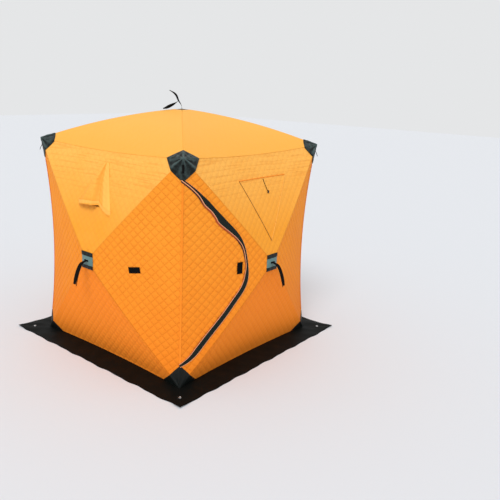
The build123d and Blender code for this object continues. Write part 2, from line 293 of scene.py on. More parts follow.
def makeMesh(name, points, uv=None, flip=False, closeRows=False, closeCols=False):
    # a mesh from a grid of points: one face per grid cell; points that fall together are merged;
    # a tube, whose columns close, gets a face at each end and has its faces turned outwards
    rows, cols = points.shape[:2]
    index = np.arange(rows * cols).reshape(rows, cols)
    if closeRows:
        index = np.vstack([index, index[:1]])
    if closeCols:
        index = np.hstack([index, index[:, :1]])
    quads = np.stack([index[:-1, :-1], index[:-1, 1:], index[1:, 1:], index[1:, :-1]], -1).reshape(-1, 4)
    if flip:
        quads = quads[:, ::-1]
    ends = [index[0, :-1][::-1].tolist(), index[-1, :-1].tolist()] if closeCols and not closeRows else []
    mesh = bpy.data.meshes.new(name)
    mesh.from_pydata(points.reshape(-1, 3).tolist(), [], quads.tolist() + ends)
    if uv is not None:
        corner = np.zeros(len(mesh.loops), np.int32)
        mesh.loops.foreach_get("vertex_index", corner)
        layer = mesh.uv_layers.new(name="cloth")
        flat = np.stack([np.ravel(uv[0]), np.ravel(uv[1])], -1)[corner]
        layer.data.foreach_set("uv", flat.astype(np.float32).ravel())
    work = bmesh.new()
    work.from_mesh(mesh)
    bmesh.ops.remove_doubles(work, verts=work.verts, dist=2e-5)
    bmesh.ops.dissolve_degenerate(work, edges=work.edges, dist=1e-6)
    if closeCols:
        bmesh.ops.recalc_face_normals(work, faces=work.faces)
    work.to_mesh(mesh)
    work.free()
    mesh.shade_smooth()
    return mesh


def clothMesh(wall, u, z, lift, flip=False):
    # a wall's cloth as a mesh, with the two stitch directions as its UV map
    return makeMesh("cloth", onWall(wall, u, z, lift), lattice(u, z), flip)


def show(name, data):
    # an object in the scene
    made = bpy.data.objects.new(name, data)
    bpy.context.scene.collection.objects.link(made)
    return made


def place(name, mesh, material, nodes=(), thickness=0.0, offset=-1.0, body="hut"):
    # a piece of the hut: a sheet gets its thickness inwards for an offset of -1 and outwards for 1;
    # the piece rides a body, and stands for the CAD nodes that it replaces
    piece = show(name, mesh)
    mesh.materials.append(materials[material])
    if thickness:
        solid = piece.modifiers.new("thickness", "SOLIDIFY")
        solid.thickness = thickness
        solid.offset = offset
        solid.use_even_offset = False
        graph = bpy.context.evaluated_depsgraph_get()
        shown = piece.evaluated_get(graph)
        done = bpy.data.meshes.new_from_object(shown, preserve_all_data_layers=True, depsgraph=graph)
        piece.modifiers.clear()
        piece.data = done
    if body:
        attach(piece, body)
    if nodes:
        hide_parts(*nodes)
    return piece


def join(name, meshes, weld=False):
    # several meshes as one; welded, their points that fall together are merged
    work = bmesh.new()
    for mesh in meshes:
        work.from_mesh(mesh)
    if weld:
        bmesh.ops.remove_doubles(work, verts=work.verts, dist=2e-5)
    result = bpy.data.meshes.new(name)
    work.to_mesh(result)
    work.free()
    result.shade_smooth()
    return result


def tube(path, radius, sides=10, closed=False):
    # a round tube: circles carried along a path, each square to it
    ahead = unit(np.roll(path, -1, 0) - np.roll(path, 1, 0) if closed else np.gradient(path, axis=0))
    side = unit(np.cross(ahead, up + 1e-3))
    turn = np.linspace(0, 2 * np.pi, sides, endpoint=False)[:, None]
    ring = np.cos(turn) * side[:, None] + np.sin(turn) * np.cross(side, ahead)[:, None]
    return path[:, None] + ring * np.broadcast_to(radius, len(path))[:, None, None]


def section(count, flatX, flatY):
    # a rounded flat section, one wide and one thick: cosine and sine to low powers
    turn = np.linspace(0, 2 * np.pi, count, endpoint=False)
    c, s = np.cos(turn), np.sin(turn)
    return np.sign(c) * np.abs(c) ** flatX / 2, np.sign(s) * np.abs(s) ** flatY / 2


def ribbon(path, side, width, thickness):
    # a strap: a rounded flat section carried along a path; side is the direction of its width
    side = np.broadcast_to(side, path.shape)[:, None]
    face = unit(np.cross(np.gradient(path, axis=0)[:, None], side))
    x, y = section(16, 0.25, 0.6)
    wide = x * np.broadcast_to(width, len(path))[:, None]
    points = path[:, None] + side * wide[..., None] + face * (y * thickness)[:, None]
    return makeMesh("ribbon", points, closeCols=True)


def between(x, stations):
    # values at x, straight between stations of a place and a value
    return np.interp(x, *zip(*stations))


def curvePoints(points, count):
    # a smooth line through points: natural cubic splines over the chord length
    points = np.asarray(points, float)
    t = np.concatenate([[0], np.cumsum(np.linalg.norm(np.diff(points, axis=0), axis=1))])
    h = np.diff(t)
    n = len(points)
    matrix = np.eye(n)
    right = np.zeros((n, points.shape[1]))
    rows = np.arange(1, n - 1)
    matrix[rows, rows - 1] = h[:-1]
    matrix[rows, rows] = 2 * (h[:-1] + h[1:])
    matrix[rows, rows + 1] = h[1:]
    right[1:-1] = 6 * np.diff(np.diff(points, axis=0) / h[:, None], axis=0)
    bend = np.linalg.solve(matrix, right)
    x = np.linspace(0, t[-1], count)
    k = np.clip(np.searchsorted(t, x, side="right") - 1, 0, n - 2)
    a = ((t[k + 1] - x) / h[k])[:, None]
    b = ((x - t[k]) / h[k])[:, None]
    bow = ((a**3 - a) * bend[k] + (b**3 - b) * bend[k + 1]) * (h[k] ** 2)[:, None] / 6
    return a * points[k] + b * points[k + 1] + bow


# Materials
def wire(tree, made, inputs):
    # fills sockets: a plain value is written in, and another node's output is linked
    for key, value in inputs:
        if isinstance(value, bpy.types.NodeSocket):
            tree.links.new(value, made.inputs[key])
        else:
            made.inputs[key].default_value = value
    return made.outputs


def node(tree, kind, inputs=(), **settings):
    # adds a shader node and gives its outputs
    made = tree.nodes.new("ShaderNode" + kind)
    for key, value in settings.items():
        setattr(made, key, value)
    return wire(tree, made, inputs)


def calc(tree, operation, *values, clamp=False):
    # one step of arithmetic
    return node(tree, "Math", enumerate(values), operation=operation, use_clamp=clamp)[0]


def ranged(tree, value, *limits, kind="LINEAR"):
    # a value between the first two limits, as one between the next two
    return node(tree, "MapRange", enumerate((value, *limits)), interpolation_type=kind)[0]


def mixed(tree, share, first, second):
    # a colour between two: the first at a share of 0, the second at 1
    return node(tree, "Mix", [(0, share), (6, first), (7, second)], data_type="RGBA")[2]


def noise(tree, coords, scale, detail):
    # soft random values about a half
    return node(tree, "TexNoise", [("Vector", coords), ("Scale", scale), ("Detail", detail)])[0]


def bumps(tree, strength, distance, *heightAndNormal):
    # a surface direction tilted by a height's slopes, on top of another direction where one is given
    values = zip(("Strength", "Distance", "Height", "Normal"), (strength, distance, *heightAndNormal))
    return node(tree, "Bump", values)[0]


def newMaterial(name):
    # a material, its nodes and its shader
    material = bpy.data.materials.new(name)
    material.use_nodes = True
    return material, material.node_tree, material.node_tree.nodes["Principled BSDF"]


def objectCoords(tree):
    return node(tree, "TexCoord")["Object"]


def uvParts(tree):
    # the piece's own UV map as separate values
    return node(tree, "SeparateXYZ", [(0, node(tree, "UVMap", uv_map="cloth")[0])])


def clothMaterial(name, colour, stitched, paintedLightHeights, streak=(1, 1), streakDepth=0.0, streakFrom=None, streakShade=0.0):
    # quilted cloth: stitch lines from the lattice coordinates with painted shade in their valleys, a fine
    # weave, and streaks of tension
    # # that set in between two heights in lattice units and may carry painted crease shade; the colour
    # changes between two heights as painted light
    material, tree, shader = newMaterial(name)
    coords = objectCoords(tree)
    p, q, _ = uvParts(tree)
    nearest = calc(tree, "MINIMUM", calc(tree, "PINGPONG", p, 0.5), calc(tree, "PINGPONG", q, 0.5))
    line = ranged(tree, nearest, 0.0, 0.17, 1.0, 0.0, kind="SMOOTHSTEP")
    weave = noise(tree, coords, 520.0, 2.0)
    base = linear(colour)
    # painted shade: the stitch lines, the quilting's valleys, are darkened towards this deeper colour
    paintedShadeColour = tuple(v * k for v, k in zip(base[:3], (0.80, 0.58, 0.36))) + (1.0,)
    # painted light: the colour runs from the Low colour at the lower height to the main one at the upper,
    # as sky above and floor below light the cloth
    rise = ranged(tree, node(tree, "SeparateXYZ", [(0, coords)])[2], *paintedLightHeights)
    wavy = calc(tree, "MULTIPLY_ADD", noise(tree, coords, 4.3, 4.0), 0.5, -0.25)
    plain = mixed(tree, calc(tree, "ADD", rise, wavy, clamp=True), linear(colour + "Low"), base)
    uneven = ranged(tree, noise(tree, coords, 13.0, 3.0), 0.35, 0.65, 0.12 * stitched, 0.50 * stitched)
    seen = mixed(tree, calc(tree, "MULTIPLY", line, uneven), plain, paintedShadeColour)
    last = bumps(tree, 0.25, 0.0006, weave)
    last = bumps(tree, 0.8 * stitched, 0.003, calc(tree, "SUBTRACT", 1.0, line), last)
    if streakDepth:
        height = calc(tree, "SUBTRACT", p, q)
        wide = calc(tree, "MULTIPLY", calc(tree, "ADD", p, q), streak[0])
        way = node(tree, "CombineXYZ", [(0, wide), (1, calc(tree, "MULTIPLY", height, streak[1]))])[0]
        lines = shape = noise(tree, way, 1.0, 2.0)
        if streakFrom:
            sets = ranged(tree, height, *streakFrom)
            shape = calc(tree, "MULTIPLY", lines, sets)
            # painted shade in the tension creases
            paintedStreakShade = calc(tree, "MULTIPLY", ranged(tree, lines, 0.36, 0.47, streakShade, 0.0), sets)
            seen = mixed(tree, paintedStreakShade, seen, paintedShadeColour)
        last = bumps(tree, 0.9, streakDepth, shape, last)
    rough = ranged(tree, weave, 0.0, 1.0, 0.55, 0.75)
    looks = {"Base Color": seen, "Roughness": rough, "Specular IOR Level": 0.12, "Normal": last}
    wire(tree, shader, looks.items())
    return material


def paintedShadowMaterial(name, stops):
    # painted shadow of the flap's fold under the piping: a colour that changes along the strip
    material, tree, shader = newMaterial(name)
    shade = node(tree, "ValToRGB", [(0, uvParts(tree)[0])])[0]
    elements = shade.node.color_ramp.elements
    for share, colour in stops[1:-1]:
        elements.new(share).color = linear(colour)
    elements[0].color = linear(stops[0][1])
    elements[-1].color = linear(stops[-1][1])
    wire(tree, shader, [("Base Color", shade), ("Roughness", 0.8)])
    return material


def coatedMaterial(name, colour, roughLow, roughHigh, grain, depth, variation=0.35, gloss=0.25):
    # coated cloth, webbing or moulded plastic: a mottled colour, uneven gloss and a fine grain
    material, tree, shader = newMaterial(name)
    coords = objectCoords(tree)
    mottle = noise(tree, coords, 9.0, 5.0)
    base = linear(colour)
    light = tuple(min(v * (1 + variation) + 0.002, 1.0) for v in base[:3]) + (1.0,)
    wire(tree, shader, [
        ("Base Color", mixed(tree, mottle, base, light)),
        ("Roughness", ranged(tree, mottle, 0.0, 1.0, roughLow, roughHigh)),
        ("Specular IOR Level", gloss),
        ("Normal", bumps(tree, 0.4, depth, noise(tree, coords, grain, 2.0))),
    ])
    return material


def foldedMaterial(name, valley, ridge):
    # creased coated cloth: painted highlights along its ridges and painted shade in its valleys
    material, tree, shader = newMaterial(name)
    crumple = noise(tree, objectCoords(tree), 34.0, 4.0)
    uneven = calc(tree, "MULTIPLY_ADD", crumple, 0.9, -0.45)
    height = calc(tree, "ADD", uvParts(tree)[0], uneven, clamp=True)
    wire(tree, shader, [
        ("Base Color", mixed(tree, height, linear(valley), linear(ridge))),
        ("Roughness", 0.45),
        ("Specular IOR Level", 0.2),
        ("Normal", bumps(tree, 0.7, 0.003, crumple)),
    ])
    return material


shades = [
    (0, "foldShadowDark"), (0.11, "foldShadowDark"), (0.16, "foldShadowRed"), (0.33, "foldShadowRed"),
    (0.38, "foldShadowDark"), (0.45, "foldShadowDark"), (0.52, "foldShadowRed"), (1, "foldShadowRed"),
]
# the last value sets the painted shade in the upper cloth's tension creases
upperStreaks = (0.09, 2.3), 0.007, (12.5, 18.0), 0.32
materials = {
    "roofCloth": clothMaterial("roofCloth", "roof", 0.10, (1.8, 2.0), (2.2, 0.12), 0.003),
    "upperCloth": clothMaterial("upperCloth", "upper", 0.35, (1.15, 1.75), *upperStreaks),
    "sideCloth": clothMaterial("sideCloth", "side", 0.9, (0.2, 1.3)),
    "lowerCloth": clothMaterial("lowerCloth", "lower", 0.45, (0.1, 0.8), (1.1, 0.15), 0.0015),
    "foldShadowPaint": paintedShadowMaterial("foldShadowPaint", shades),
    "foldedPatch": foldedMaterial("foldedPatch", "patchValleyShade", "patchRidgeHighlight"),
}
coats = {  # colour, least and most roughness, scale and depth of the grain, mottling, gloss
    "hemCloth": ("hem", 0.6, 0.8, 500, 0.0006, 0.12, 0.1),
    "roofSeam": ("roof", 0.6, 0.8, 500, 0.0004, 0.05, 0.1),
    "hoodShade": ("hoodShade", 0.6, 0.8, 500, 0.0006, 0.1, 0.1),
    "seamCloth": ("seam", 0.6, 0.8, 500, 0.0006, 0.1, 0.1),
    "coverZip": ("coverZip", 0.55, 0.7, 600, 0.0004, 0.1),
    "patchCloth": ("patch", 0.35, 0.55, 420, 0.0005, 0.6, 0.2),
    "patchDark": ("patchDark", 0.4, 0.6, 420, 0.0005),
    "zipBand": ("zipBand", 0.3, 0.55, 380, 0.0006, 0.8, 0.18),
    "bindingAndHighlight": ("bindingAndHighlight", 0.5, 0.7, 600, 0.0004, 0.1),
    "skirtCloth": ("skirt", 0.5, 0.7, 300, 0.0006, 0.6, 0.08),
    "webbing": ("webbing", 0.6, 0.8, 500, 0.0006, 0.35, 0.06),
    "grommetMetal": ("metal", 0.22, 0.35, 200, 0.0001, 0.08, 0.5),
    "poleRod": ("rod", 0.25, 0.4, 300, 0.0001, 0.1, 0.5),
    "hubPlastic": ("plastic", 0.4, 0.55, 250, 0.0002, 0.35, 0.4),
    "hubPlate": ("hubPlate", 0.35, 0.5, 420, 0.0004),
}
for name, facts in coats.items():
    materials[name] = coatedMaterial(name, *facts)
materials["grommetMetal"].node_tree.nodes["Principled BSDF"].inputs["Metallic"].default_value = 1.0
print("materials made:", len(materials))


# Cloth panels
panelFacts = {
    "thickness": 0.0034,
    "sideArea": 0.83,
    "topArea": 0.86,
    "roofArea": 0.83,
    "firstStep": 5,  # the grid starts this many steps from the hub
    "slant": 0.71,  # distance to a pole, per length along the wall
}


def fanGrid():
    # grid of a panel that widens outwards: columns pulled in to the poles, the share of the way
    # out, and the poles' distance from the middle
    n = shell["steps"]
    i, j = np.meshgrid(np.arange(-n, n + 1), np.arange(panelFacts["firstStep"], n + 1))
    limit = j * half / n
    return np.clip(i * half / n, -limit, limit), j / n, limit


def stepRows(*extra):
    # a grid's rows as heights over the hub: whole steps and some extra heights
    n = shell["steps"]
    return np.unique(np.concatenate([np.arange(-n, n + 1) * hubHeight / n, np.array(extra) - hubHeight]))


def sidePanel(wall, sign):
    # a left or right panel: from the poles out to the corner's mitre
    n = shell["steps"]
    i, j = np.meshgrid(np.arange(panelFacts["firstStep"], n + 1), np.arange(-n, n + 1))
    z = hubHeight + j * hubHeight / n
    diagonal = np.abs(j) * half / n
    reach = cornerReach(z[:, :1])
    u = np.clip(i * half / n, np.maximum(diagonal, shell["hubOpening"]), reach)
    seam = np.minimum((u - diagonal) * panelFacts["slant"], reach - u)
    u = u * sign
    return clothMesh(wall, u, z, quiltRelief(u, z, seam, len(wall) + sign), sign < 0)


def bottomPanel(wall):
    # a bottom panel: from the poles down to the ground
    u, share, limit = fanGrid()
    z = np.maximum(hubHeight - np.maximum(share * hubHeight, shell["hubOpening"]), shell["ground"])
    seam = np.minimum((limit - np.abs(u)) * panelFacts["slant"], z - shell["ground"])
    return clothMesh(wall, u, z, quiltRelief(u, z, seam, len(wall) + 3), True)


def roofPanel(wall):
    # a roof panel: from the roof poles out to the eave's mitre, with low pleats
    u, share, limit = fanGrid()
    reach = roofReach(u)
    w = np.minimum(np.maximum(share * half, shell["hubOpening"]), reach)
    seam = np.minimum((limit - np.abs(u)) * panelFacts["slant"], reach - w)
    pleat = 0.0006 * np.sin(2 * np.pi * u / 0.094) * smooth((w - 0.2) / 0.5)
    flat = underRoofPatch(u, w)
    relief = quiltRelief(u, w, seam, 7 + len(wall), 0.2, 0, flat) + pleat * (1 - flat)
    return makeMesh("roof", onRoof(wall, u, w, relief * smooth(seam / 0.12)), lattice(u, w + hubHeight))


def holeEdge(hole, share, sign):
    # the hole's edge on one side: a straight line from its wide end to its tip
    wide = hole["right"] if sign > 0 else hole["left"]
    return hole["tip"] + (wide - hole["tip"]) * share


def ringPanel(wall, hole, wideTop):
    # a top panel in two halves round a hole: each row starts at the hole's edge or the middle line
    n = shell["steps"]
    low, high = hole["low"] - hubHeight, hole["high"] - hubHeight
    wideEnd = high if wideTop else low
    rows = np.unique([*np.arange(panelFacts["firstStep"], n + 1) * hubHeight / n, low, high])
    rows = np.maximum(rows, shell["hubOpening"])
    level = np.insert(rows, np.searchsorted(rows, wideEnd), wideEnd)
    share = (level - low) / (high - low)
    share = share if wideTop else 1 - share
    inside = (level >= low - 1e-9) & (level <= high + 1e-9)
    twin = np.flatnonzero(np.isclose(level, wideEnd))
    inside[twin[-1] if wideTop else twin[0]] = False
    limit = (level * half / hubHeight)[:, None]
    meshes = []
    for sign in (1, -1):
        start = np.where(inside, holeEdge(hole, share, sign), 0)[:, None] * sign
        u = np.clip(np.broadcast_to(np.arange(0, n + 1) * half / n, (len(level), n + 1)), start, limit)
        u[:, :1] = np.minimum(start, limit)
        edge = eaveHeight(u)
        z = np.minimum(hubHeight + level[:, None], edge)
        seam = np.minimum((limit - u) * panelFacts["slant"], edge - z)
        gap = np.where(inside[:, None], (u - start) * 0.85, 1.0)
        seam = np.clip(np.minimum(seam, gap), 0, None)
        u = u * sign
        relief = quiltRelief(u, z, seam, len(wall) + 3, 0.8)
        relief = relief + eaveCreases(u, z, len(wall)) * smooth(seam / 0.03)
        meshes.append(clothMesh(wall, u, z, relief, sign < 0))
    return join(f"{wall}TopCloth", meshes, weld=True)


def panel(name, mesh, material, nodes):
    # a sheet of cloth stretched over the poles
    piece = place(name, mesh, material, nodes, panelFacts["thickness"])


window = {"low": 1.086, "high": 1.594, "left": -0.286, "right": 0.336, "tip": 0.011, "gap": 0.0012}
vent = {"low": 1.345, "high": 1.600, "left": -0.11, "right": 0.11, "tip": 0.0}
for wall in walls:
    for side, sign in (("left", -1), ("right", 1)):
        if (wall, side) != ("front", "left"):  # the doorway's side is made with the door
            name, nodes = f"{wall}{side.capitalize()}Cloth", [f"{wall}_{side}_panel"]
            panel(name, sidePanel(wall, sign), "sideCloth", nodes)
    nodes = [f"{wall}_bottom_panel"]
    panel(f"{wall}BottomCloth", bottomPanel(wall), "lowerCloth", nodes)
    hole = window if wall in ("front", "back") else vent
    mesh = ringPanel(wall, hole, hole is window)
    panel(f"{wall}TopCloth", mesh, "upperCloth", [f"{wall}_top_panel"])
    nodes = [f"roof_{wall}_panel"]
    panel(f"{wall}RoofCloth", roofPanel(wall), "roofCloth", nodes)
print("wall and roof cloth made")


# Flat seams over the upright corners and the roof poles, between the patches
seamStrip = {"width": 0.014, "thickness": 0.0012, "corner": (0.19, 1.63), "roof": (0.10, 0.93)}
for first, (along, outward) in walls.items():
    z = np.linspace(*seamStrip["corner"], 140)[:, None]
    path = (cornerReach(z) + 0.0004 / math.sqrt(2)) * (along + outward) + z * up
    share = np.linspace(*seamStrip["roof"], 100)[:, None]
    height = top + poleLevel(share, shell["roofRise"], shell["roofBow"]) + 0.0006
    roofPath = half * share * (along + outward) + height * up
    across = (along - outward) / math.sqrt(2)
    for label, line, slotName in (("Corner", path, "wall_cloth"), ("Roof", roofPath, "roof_cloth")):
        mesh = ribbon(line, across, seamStrip["width"], seamStrip["thickness"])
        place(f"{first}{label}Seam", mesh, "seamCloth" if label == "Corner" else "roofSeam")


# Window covers: the same cloth, sewn along the top, zipped down one side and piped down the other
def windowCover(wall):
    # rows across a triangle that widens upwards, inside the wall's opening
    low, high, gap = window["low"], window["high"], window["gap"]
    z = hubHeight + stepRows(low, high)
    z = z[(z > low - 1e-9) & (z < high + 1e-9)][:, None]
    share = (z - low) / (high - low)
    first = holeEdge(window, share, -1) + gap
    last = np.maximum(first, holeEdge(window, share, 1) - gap)
    u = np.clip(np.arange(-30, 36) * half / shell["steps"], first, last)
    z = np.minimum(np.broadcast_to(z, u.shape), high - gap)
    seam = np.minimum(np.minimum(u - first, last - u) * 0.85, high - z)
    relief = quiltRelief(u, z, seam, len(wall) + 3, 0.8) + 0.002 * smooth(seam / 0.05)
    mesh = clothMesh(wall, u, z, relief)
    name, nodes = f"{wall}WindowCoverCloth", [f"{wall}_window_cover"]
    piece = place(name, mesh, "upperCloth", nodes, panelFacts["thickness"])


def wallStrip(wall, line, width, lift, thickness, count=60):
    # a strip sewn along a line on a wall: a rounded flat section whose middle follows the line
    path = curvePoints(line, count)[:, None]
    way = unit(np.gradient(path, axis=0))
    x, y = section(12, 0.4, 0.7)
    u = path[..., 0] + way[..., 1] * x * width
    z = path[..., 1] - way[..., 0] * x * width
    return makeMesh("strip", onWall(wall, u, z, lift + y * thickness), closeCols=True)


upperLeft, upperRight = ((window[k], window["high"]) for k in ("left", "right"))
lowest = window["tip"], window["low"]
trims = {  # ends, material, width, lift and thickness
    "ZipLine": ([upperLeft, lowest], "coverZip", 0.0045, 0.0012, 0.0024),
    "CoverPiping": ([upperRight, lowest], "hemCloth", 0.005, 0.0012, 0.0026),
    "CoverSeam": ([upperLeft, upperRight], "seamCloth", 0.005, 0.0012, 0.0026),
}
tie = {
    "route": [(0.030, 1.583), (0.034, 1.56), (0.046, 1.52), (0.056, 1.485)],
    "width": 0.005,
    "lift": 0.003,
    "thickness": 0.003,
    "toggle": (0.059, 1.478),
    "toggleLift": 0.008,
    "toggleHalf": 0.013,
    "toggleRadius": 0.0065,
}
for wall in ("front", "back"):
    windowCover(wall)
    for label, (line, material, *sizes) in trims.items():
        place(f"{wall}{label}", wallStrip(wall, line, *sizes), material)
    # a short tie with its toggle, sewn at the top seam to hold the cover when it is rolled up
    mesh = wallStrip(wall, tie["route"], tie["width"], tie["lift"], tie["thickness"], 30)
    place(f"{wall}CoverTie", mesh, "webbing")
    spot = onWall(wall, *np.array([tie["toggle"]]).T, tie["toggleLift"])
    tall = np.linspace(-1, 1, 16)
    radius = tie["toggleRadius"] * np.sqrt(np.clip(1.02 - tall**4, 0, 1))
    body = tube(spot + up * (tall * tie["toggleHalf"])[:, None], radius, 12)
    place(f"{wall}CoverToggle", makeMesh("toggle", body, closeCols=True), "hubPlastic")
print("window covers made")


# Door: the zip's line, the cloth round the doorway, the flap and its band
door = {
    "top": 1.670,
    "bottom": 0.168,
    "route": [
        (85, 1606), (180, 1521), (262, 1420), (383, 1300), (518, 1178), (574, 1080), (608, 950),
        (621, 838), (594, 738), (522, 646), (420, 530), (236, 340), (75, 196),
    ],
    "flapInset": 0.011,  # from the zip line to the flap's cloth
    "bandInset": 0.003,
    "bandFrom": [
        (0, 0.003), (0.09, 0.003), (0.12, -0.003), (0.155, -0.012), (0.2, -0.018),
        (0.235, -0.020), (0.28, -0.013), (0.34, -0.003), (0.4, 0.003), (1, 0.003),
    ],
    "bandWidth": [
        (0, 0.007), (0.05, 0.009), (0.10, 0.016), (0.145, 0.028), (0.185, 0.013), (0.215, 0.018),
        (0.235, 0.032), (0.28, 0.032), (0.33, 0.030), (0.37, 0.024), (0.40, 0.016), (0.44, 0.014),
        (0.49, 0.016), (0.53, 0.036), (0.58, 0.043), (0.90, 0.042), (0.97, 0.027), (1, 0.015),
    ],
    "pipingWidth": [(0, 0.006), (0.12, 0.004), (0.3, 0.0028), (0.45, 0.0028), (0.5, 0.0012), (1, 0.0012)],
    "foldWidth": [
        (0, 0.008), (0.15, 0.009), (0.25, 0.012), (0.33, 0.010), (0.38, 0.011), (0.45, 0.007),
        (0.5, 0.002), (1, 0.0015),
    ],
    "edgingWidth": [(0, 0.0015), (0.5, 0.0015), (0.6, 0.003), (1, 0.004)],
    "bendStart": -0.832,
    "bendEnd": -0.745,
}
route = [(-half + x / 1000, y / 1000) for x, y in door["route"]]
zipLine = curvePoints([(-half, door["top"]), *route, (-half, door["bottom"])], 400)
zipWay = unit(np.gradient(zipLine, axis=0))
zipIn = np.stack([zipWay[:, 1], -zipWay[:, 0]], -1)  # towards the flap


def zipAt(z, inset):
    # the zip line's distance along the wall at a height, pulled in by an inset
    line = zipLine + zipIn * inset
    return np.interp(z, line[::-1, 1], line[::-1, 0])


def doorSurround():
    # front wall's left panel outside the zip line: columns from the pole out to the zip or the corner
    n = shell["steps"]
    rows = stepRows(door["top"], door["bottom"])[:, None]
    z = hubHeight + rows
    outer = -cornerReach(z)
    beside = (z > door["bottom"]) & (z < door["top"])
    limit = np.where(beside, np.maximum(zipAt(z, 0.0), outer), outer)
    inner = np.minimum(-np.abs(rows) * half / hubHeight, -shell["hubOpening"])
    u = np.clip(-np.arange(panelFacts["firstStep"], n + 1) * half / n, limit, inner)
    z = np.broadcast_to(z, u.shape)
    seam = np.minimum((inner - u) * panelFacts["slant"], u - limit)
    return clothMesh("front", u, z, quiltRelief(u, z, seam, 4), True)


nodes = ["front_left_upper_panel", "front_left_lower_panel"]
panel("doorSurroundCloth", doorSurround(), "sideCloth", nodes)


def doorFlap():
    # the flap: columns from the corner's mitre to its edge along the zip, where it is slack
    n = shell["steps"]
    z = hubHeight + stepRows(*np.linspace(door["bottom"], door["top"], 5))
    z = z[(z > door["bottom"] + 0.004) & (z < door["top"] - 0.004)][:, None]
    outer = -cornerReach(z)
    limit = np.maximum(zipAt(z, door["flapInset"]), outer)
    u = np.clip(-np.arange(20, n + 1) * half / n, outer, limit)
    z = np.broadcast_to(z, u.shape)
    away = limit - u
    relief = quiltRelief(u, z, np.minimum(u - outer, away * 0.8), 4)
    wave = np.sin(z * 34 + 1.3 * np.sin(z * 11)) * smooth(away / 0.02)
    return clothMesh("front", u, z, relief + 0.004 * np.exp(-((away / 0.06) ** 2)) * wave, True)


def toDoor(piece, *nodes):
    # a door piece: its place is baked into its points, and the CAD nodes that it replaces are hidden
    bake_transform(piece)
    if nodes:
        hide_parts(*nodes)


thickness = panelFacts["thickness"]
flap = place("doorFlapCloth", doorFlap(), "sideCloth", thickness=thickness, body=None)
toDoor(flap, "door_flap")

stripRun = np.linspace(0.006, 0.992, 300)
zipRun = np.linspace(0, 1, len(zipLine))
stripAt = np.stack([np.interp(stripRun, zipRun, c) for c in zipLine.T], -1)
stripIn = np.stack([np.interp(stripRun, zipRun, c) for c in zipIn.T], -1)


def widthAlong(name):
    # a width that changes along the zip: straight steps between its stations, rounded off
    weights = np.hanning(11)[1:-1]
    plain = np.pad(between(stripRun, door[name]), 4, mode="edge")
    return np.convolve(plain, weights / weights.sum(), mode="valid")


def zipStrip(name, first, last, lift, thickness, material, crown=0.0, body=None):
    # a strip along the zip: a rounded flat section between two insets from the zip line
    first, last, crown = (np.broadcast_to(v, stripRun.shape)[:, None] for v in (first, last, crown))
    x, y = section(14, 0.4, 0.7)
    inset = (first + last) / 2 + x * (last - first)
    u = np.maximum(stripAt[:, :1] + stripIn[:, :1] * inset, 0.004 - half)
    z = stripAt[:, 1:] + stripIn[:, 1:] * inset
    height = lift + crown * (1 - (2 * x) ** 2) + y * thickness
    uv = np.broadcast_to(stripRun[:, None], u.shape), np.broadcast_to(x, u.shape)
    mesh = makeMesh(name, onWall("front", u, z, height), uv, closeCols=True)
    return place(name, mesh, material, body=body)


bandEnd = door["bandInset"] + widthAlong("bandWidth")
pipingEnd = bandEnd + widthAlong("pipingWidth")
foldEnd = pipingEnd + widthAlong("foldWidth")
bulge = 0.0035 + 0.0025 * np.sin(stripRun * 52 + 2.2 * np.sin(stripRun * 17))
band = zipStrip("doorZipBandCloth", widthAlong("bandFrom"), bandEnd, 0.0045, 0.004, "zipBand", bulge)
toDoor(band, "door_zip_band")
# the pale piping is partly binding and partly a painted highlight: light on the flap's rolled rim
toDoor(zipStrip("doorBandPiping", bandEnd - 0.001, pipingEnd, 0.0045, 0.005, "bindingAndHighlight"))
# a strip of painted shadow where the flap curves in under the piping
toDoor(zipStrip("doorBandFoldShadow", pipingEnd - 0.001, foldEnd, 0.002, 0.0034, "foldShadowPaint"))
# the doorway's pale edging, wider low down, is partly binding and partly a painted highlight along the edge
edge = -0.001 - widthAlong("edgingWidth")
zipStrip("doorwayEdging", edge, -0.0005, 0.001, 0.003, "bindingAndHighlight", body="hut")
zipStrip("doorwayFacing", -0.012, 0.018, -0.0095, 0.001, "sideCloth", body="hut")
print("door made")


# Tabs of hook tape: rounded flat pieces sewn on the flap and the left wall
def tab(name, wall, centre, width, height, turn, nodes, body):
    # a crowned rectangle: two rounded profiles, turned in the wall's plane
    a, b = np.meshgrid(np.linspace(-1, 1, 25), np.linspace(-1, 1, 33))
    x, y = a * width / 2, b * height / 2
    u = centre[0] + x * math.cos(turn) - y * math.sin(turn)
    z = centre[1] + x * math.sin(turn) + y * math.cos(turn)
    rim = (1 - np.abs(a) ** 10) * (1 - np.abs(b) ** 10)
    stitch = -0.0006 * np.exp(-(((np.maximum(np.abs(a), np.abs(b)) - 0.82) / 0.05) ** 2))
    mesh = makeMesh(name, onWall(wall, u, z, 0.0008 + 0.0025 * rim + stitch))
    place(name, mesh, "webbing", nodes, 0.0014, body=body)


tab("doorTabTape", "front", (-0.345, 0.912), 0.05, 0.098, 0.0, ["door_tab"], "door")
tab("wallTabTape", "left", (0.459, 0.903), 0.098, 0.05, 0.16, ["wall_tab"], "hut")


# Patches of coated cloth over the corners and hubs
neighbours = {"front": "right", "right": "back", "back": "left", "left": "front"}
wallRidges = (8, 6, 0.45), (22, 6, -0.3), (37, 6, 1.0), (52, 9, -0.8), (78, 8, 0.3), (90, 4, -0.1)
roofRidges = (0, 5, 0.3), (14, 6, 0.4), (28, 7, -0.3), (45, 4, 0.75)
quarter = np.linspace(0, np.pi / 2, 37)[:, None]
eighth = np.linspace(0, np.pi / 4, 19)[:, None]
r = np.linspace(0, 1, 31)  # share of the way out from the corner


